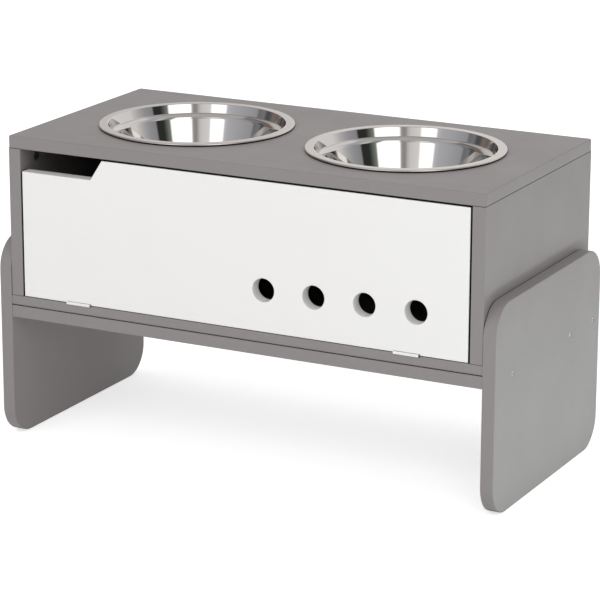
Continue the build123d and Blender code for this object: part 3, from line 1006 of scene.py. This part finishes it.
for ending, (head, shank, length, sunk, look) in SCREWS.items():
    one = cut(screw_mesh(ending, head, shank, length), cross_cutter("cross", head))
    for node in [n for n in nodes if n.endswith(ending)]:
        facing = Vector(look or OUTWARD[node.split("_")[0]])
        axis = max(range(3), key=lambda k: abs(facing[k]))
        placed = []
        for i, (low, high) in enumerate(solids_in(node, axis)):
            middle = (low + high) / 2
            middle[axis] = high[axis] if facing[axis] > 0 else low[axis]
            middle -= facing * sunk * MM
            turn = Matrix.Rotation(math.radians(DRIVER_TURNS[i % len(DRIVER_TURNS)]), 4, "Z")
            upright = facing.to_track_quat("Z", "Y").to_matrix().to_4x4()
            placed.append((one, Matrix.Translation(middle) @ upright @ turn))
        row = join_row(f"{node}_cross_head", placed)
        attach(row, nodes[node]["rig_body"])
        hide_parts(node)
        print(node, len(placed), "screws,", len(row.data.polygons), "faces")

# %% [markdown]
# ## The floor
#
# The portrait stands on white paper over a light table. The table glows, so that the paper is pure
# white where nothing shades it and the object's shadow stays soft and pale. A brighter lamp would
# whiten the paper too, but it would bleach the object. The glow is for the camera and for
# reflections; the light that bounces back on to the boards comes from the lit paper alone, so that
# the underside of the stand keeps its natural dark.

# %% Floor
FLOOR_SIZE = 30.0       # metres
TABLE_GLOW = 0.60       # what the table adds to the lit paper; the sum shows as white

bpy.ops.mesh.primitive_grid_add(x_subdivisions=4, y_subdivisions=4, size=FLOOR_SIZE)
floor = bpy.context.object
floor.name = "studio_paper"
paper, tree, shader = start_finish("matt_paper_white", Roughness=0.9)
tree.nodes.remove(shader)
path = add_node(tree, "ShaderNodeLightPath")
bounced = add_node(
    tree, "ShaderNodeMath", {"operation": "SUBTRACT", 0: 1.0}, {1: path.outputs["Is Diffuse Ray"]}
)
table = add_node(
    tree, "ShaderNodeMath", {"operation": "MULTIPLY", 1: TABLE_GLOW}, {0: bounced.outputs[0]}
)
glow = add_node(tree, "ShaderNodeEmission", {}, {"Strength": table.outputs[0]})
sheet = add_node(tree, "ShaderNodeBsdfDiffuse", {"Color": linear("EEEEEE")})
surface = add_node(tree, "ShaderNodeAddShader", {}, {0: glow.outputs[0], 1: sheet.outputs[0]})
tree.links.new(surface.outputs[0], tree.nodes["Material Output"].inputs["Surface"])
floor.data.materials.append(paper)
print("floor", FLOOR_SIZE, "m wide")

# %% [markdown]
# ## Cards round the object
#
# Polished steel would look like white plaster in an evenly white room, so photographers put tall
# light panels and dark cards around it. Here they are a round wall as far away as the camera,
# which only reflections see. A picture of a studio wrapped round the world is the usual way, but
# it needs an image, and it is infinitely far away: it would look different in the two bowls. A
# wall at the camera's distance shows the same pattern in both, as the photograph does.
#
# The wall's brightness is a ramp round the horizon: each row below is a place on it, and between
# two rows the light changes evenly. The angles count from the camera's side, positive to the
# right. This is the lower ramp.

# %% Low cards
WHITE, COOL, GREEN, BROWN = "FFFFFF", "F4F7FF", "F0FFF4", "FFE8DC"
LOW_CARDS = [  # degrees, strength and tint
    (-180, 0.78, WHITE),
    (-145, 0.64, WHITE),
    (-138, 0.38, BROWN),
    (-132, 0.20, BROWN),
    (-120, 0.26, BROWN),
    (-112, 0.12, COOL),
    (-106, 0.12, COOL),
    (-102, 0.28, COOL),
    (-92, 0.24, COOL),
    (-88.5, 0.46, COOL),
    (-76, 0.52, COOL),
    (-50, 0.65, COOL),
    (-43.5, 0.78, COOL),
    (-41, 1.90, WHITE),
    (-21.5, 1.90, WHITE),
    (-19.5, 0.98, WHITE),
    (-7, 0.86, WHITE),
    (-3, 0.70, WHITE),
    (0.5, 0.42, COOL),
    (5, 0.38, WHITE),
    (7.5, 0.70, WHITE),
    (9, 1.90, WHITE),
    (41, 1.90, WHITE),
    (43, 0.32, GREEN),
    (51, 0.10, GREEN),
    (54, 0.04, GREEN),
    (65, 0.04, GREEN),
    (67, 0.38, COOL),
    (80, 0.47, COOL),
    (92, 0.62, WHITE),
    (106, 0.92, WHITE),
    (150, 0.93, WHITE),
]
widest = max(b[0] - a[0] for a, b in zip(LOW_CARDS, LOW_CARDS[1:]))
print(len(LOW_CARDS), "low cards, the widest of", widest, "degrees")

# %% [markdown]
# The panels and the dark posts between them end at different heights, so higher up another ramp
# takes over.

# %% High cards
HIGH_CARDS = [
    (-180, 0.72, WHITE),
    (-162, 0.62, WHITE),
    (-150, 0.52, WHITE),
    (-138, 0.28, BROWN),
    (-126, 0.22, BROWN),
    (-114, 0.34, COOL),
    (-102, 0.28, COOL),
    (-90, 0.44, COOL),
    (-66, 0.58, COOL),
    (-54, 0.66, COOL),
    (-42, 0.80, COOL),
    (-38, 1.00, WHITE),
    (-24, 1.00, WHITE),
    (-20, 0.85, WHITE),
    (-6, 0.52, WHITE),
    (8, 0.40, WHITE),
    (12, 1.90, WHITE),
    (37, 1.90, WHITE),
    (42, 0.50, GREEN),
    (54, 0.28, GREEN),
    (60, 0.60, WHITE),
    (68, 0.85, WHITE),
    (76, 0.60, COOL),
    (92, 0.55, COOL),
    (108, 0.78, WHITE),
    (138, 0.95, WHITE),
    (156, 0.84, WHITE),
    (180, 0.72, WHITE),
]
BRIGHTEST = max(strength for _, strength, _ in LOW_CARDS + HIGH_CARDS)
print(len(HIGH_CARDS), "high cards, the brightest of all is", BRIGHTEST)

# %% [markdown]
# The wall is a ring of upright faces without a bottom or a top. Only reflections see it: it throws
# no shadow, gives the boards no light, and is hidden from the camera.

# %% Card wall
CARD_DISTANCE = 3.2     # metres
CARD_TOP = 5.2          # metres
CARD_SIDES = 96

rings = []
for height in (0.0, CARD_TOP):
    for side in range(CARD_SIDES):
        angle = 2 * math.pi * side / CARD_SIDES
        rings.append((CARD_DISTANCE * math.cos(angle), CARD_DISTANCE * math.sin(angle), height))
walls = []
for side in range(CARD_SIDES):
    after = (side + 1) % CARD_SIDES
    walls.append((side, after, after + CARD_SIDES, side + CARD_SIDES))
mesh = bpy.data.meshes.new("studio_cards")
mesh.from_pydata(rings, [], walls)
card_wall = bpy.data.objects.new("studio_cards", mesh)
bpy.context.scene.collection.objects.link(card_wall)
for kind in ("camera", "diffuse", "shadow", "volume_scatter"):
    setattr(card_wall, f"visible_{kind}", False)
print("card wall", CARD_DISTANCE, "m away and", CARD_TOP, "m high")

# %% [markdown]
# A colour ramp holds colours only from 0 to 1, so each card's strength is stored as a share of the
# brightest, and the light shines at that strength.


# %% Card ramp
def card_ramp(tree, cards, turn):
    """The light of a row of cards, read off a colour ramp that runs once round the horizon."""
    ramp = add_node(tree, "ShaderNodeValToRGB", {}, {0: turn})
    stops = ramp.color_ramp.elements
    for i, (degrees, strength, tint) in enumerate(cards):
        position = (degrees + 180) / 360
        stop = stops[i] if i < len(stops) else stops.new(position)
        stop.position = position
        stop.color = [c * strength / BRIGHTEST for c in linear(tint)[:3]] + [1]
    return add_node(
        tree, "ShaderNodeEmission", {"Strength": BRIGHTEST}, {"Color": ramp.outputs[0]}
    ).outputs[0]


print("strengths are stored as shares of", BRIGHTEST)

# %% [markdown]
# The angle round the object is the arctangent of a spot's place on the wall, turned so that zero
# is the camera's side. The low cards give way to the high ones, and those to the plain ceiling.

# %% Light the cards
CAMERA_AZIMUTH = 27.326     # degrees
HIGH_FROM = 2.05        # metres, where the high cards start to take over
HIGH_FADE = 0.15        # metres until they have
CARD_FADE = 0.8         # metres, the upper stretch where the cards give way to the ceiling
CEILING = 0.58          # strength of the plain light above the cards

card_light, tree, shader = start_finish("studio_card_light")
tree.nodes.remove(shader)
place = add_node(tree, "ShaderNodeTexCoord")
facing = add_node(
    tree,
    "ShaderNodeVectorRotate",
    {"rotation_type": "Z_AXIS", "Angle": math.radians(-CAMERA_AZIMUTH)},
    {"Vector": place.outputs["Object"]},
)
parts = add_node(tree, "ShaderNodeSeparateXYZ", {}, {0: facing.outputs[0]})
front = add_node(tree, "ShaderNodeMath", {"operation": "MULTIPLY", 1: -1.0}, {0: parts.outputs[1]})
angle = add_node(
    tree, "ShaderNodeMath", {"operation": "ARCTAN2"}, {0: parts.outputs[0], 1: front.outputs[0]}
)
turn = add_node(
    tree,
    "ShaderNodeMapRange",
    {"From Min": -math.pi, "From Max": math.pi},
    {"Value": angle.outputs[0]},
).outputs[0]
surface = card_ramp(tree, LOW_CARDS, turn)
plain = add_node(tree, "ShaderNodeEmission", {"Strength": CEILING}).outputs[0]
layers = (
    (HIGH_FROM, HIGH_FADE, card_ramp(tree, HIGH_CARDS, turn)),
    (CARD_TOP - CARD_FADE, CARD_FADE, plain),
)
for start, fade, light in layers:
    rise = add_node(
        tree,
        "ShaderNodeMapRange",
        {"interpolation_type": "SMOOTHSTEP", "From Min": start, "From Max": start + fade},
        {"Value": parts.outputs[2]},
    )
    surface = add_node(
        tree, "ShaderNodeMixShader", {}, {0: rise.outputs[0], 1: surface, 2: light}
    ).outputs[0]
tree.links.new(surface, tree.nodes["Material Output"].inputs["Surface"])
mesh.materials.append(card_light)
print("high cards from", HIGH_FROM, "m, ceiling from", CARD_TOP, "m")

# %% [markdown]
# ## The room
#
# The room beyond the cards is the world. It lights the boards with an even white, reflections see
# it as a dimmer ceiling, and the camera sees it as pure white. One strength for all three would
# either leave the background gray or wash the object out, so each kind of ray gets its own.

# %% Room
WALL_LIGHT = 0.60       # what the boards get
BACKDROP = 1.0          # what the camera sees

world = bpy.data.worlds.new("studio")
bpy.context.scene.world = world
world.use_nodes = True
tree = world.node_tree
tree.nodes.clear()
even, ceiling, backdrop = [
    add_node(tree, "ShaderNodeBackground", {"Color": linear(WHITE), "Strength": light}).outputs[0]
    for light in (WALL_LIGHT, CEILING, BACKDROP)
]
path = add_node(tree, "ShaderNodeLightPath")
shiny = add_node(
    tree,
    "ShaderNodeMath",
    {"operation": "MAXIMUM"},
    {0: path.outputs["Is Glossy Ray"], 1: path.outputs["Is Transmission Ray"]},
)
lit = add_node(tree, "ShaderNodeMixShader", {}, {0: shiny.outputs[0], 1: even, 2: ceiling})
whole = add_node(
    tree,
    "ShaderNodeMixShader",
    {},
    {0: path.outputs["Is Camera Ray"], 1: lit.outputs[0], 2: backdrop},
)
add_node(tree, "ShaderNodeOutputWorld", {}, {"Surface": whole.outputs[0]})
print("even light", WALL_LIGHT, "ceiling", CEILING)

# %% [markdown]
# ## Lamps
#
# The room alone would light all sides alike, so three large lamps give the boards a direction: one
# over the top and two at the front. The larger a lamp is for its distance, the softer its shadows,
# and these leave none with an edge. The fourth is a narrow strip beside the right leg, just over
# the paper. It stands for the glow of the light table on that leg, which the floor's material
# keeps off the boards. Reflections see the cards already, so the lamps are hidden from them.

# %% Lamps
LAMPS = {  # place in metres, width and height in metres, watts and sRGB tint
    "top_soft": ((0.3, 0.4, 2.6), (1.8, 1.8), 6.5, "FFFFFF"),
    "front_high": ((1.4, -2.2, 1.9), (1.6, 1.6), 17.0, "FFFFFF"),
    "front_left": ((-0.8, -2.5, 2.0), (1.6, 1.6), 15.0, "FFFFFF"),
    "leg_out": ((0.575, 0.0, 0.03), (0.6, 0.06), 0.50, "E7FFFA"),
}
AIM = Vector((0, 0, 0.2))   # metres, inside the cabinet

for name, (place, (width, height), watts, tint) in LAMPS.items():
    data = bpy.data.lights.new(name, "AREA")
    data.shape = "RECTANGLE"
    data.size = width
    data.size_y = height
    data.energy = watts
    data.color = linear(tint)[:3]
    lamp = bpy.data.objects.new(name, data)
    lamp.location = place
    lamp.rotation_euler = (AIM - Vector(place)).to_track_quat("-Z", "Y").to_euler()
    lamp.visible_camera = False
    lamp.visible_glossy = False
    bpy.context.scene.collection.objects.link(lamp)
    print("lamp", name, watts, "W")

# %% [markdown]
# ## Camera
#
# The camera's place was solved from the straight edges of the boards in the photograph: a long
# lens about three metres away, turned to the object's front right and tilted down. Setting it by
# eye easily gives a good place with a wrong lens, and then the boards' edges converge too much or
# too little.

# %% Camera
CAMERA_PLACE = (1.43432, -2.77392, 1.06226)     # metres
CAMERA_ELEVATION = 16.037   # degrees that it looks down
CAMERA_ROLL = 0.150     # degrees
LENS = 172.75           # mm
SENSOR_WIDTH = 36.0     # mm

data = bpy.data.cameras.new("portrait")
data.sensor_width = SENSOR_WIDTH
data.lens = LENS
camera = bpy.data.objects.new("portrait", data)
bpy.context.scene.collection.objects.link(camera)
turn = Matrix.Rotation(math.radians(CAMERA_AZIMUTH), 4, "Z")
tilt = Matrix.Rotation(math.radians(90 - CAMERA_ELEVATION), 4, "X")
roll = Matrix.Rotation(math.radians(CAMERA_ROLL), 4, "Z")
camera.matrix_world = Matrix.Translation(CAMERA_PLACE) @ turn @ tilt @ roll
bpy.context.scene.camera = camera
bpy.context.scene.view_settings.view_transform = "Standard"
print("camera at", CAMERA_PLACE, "lens", LENS)
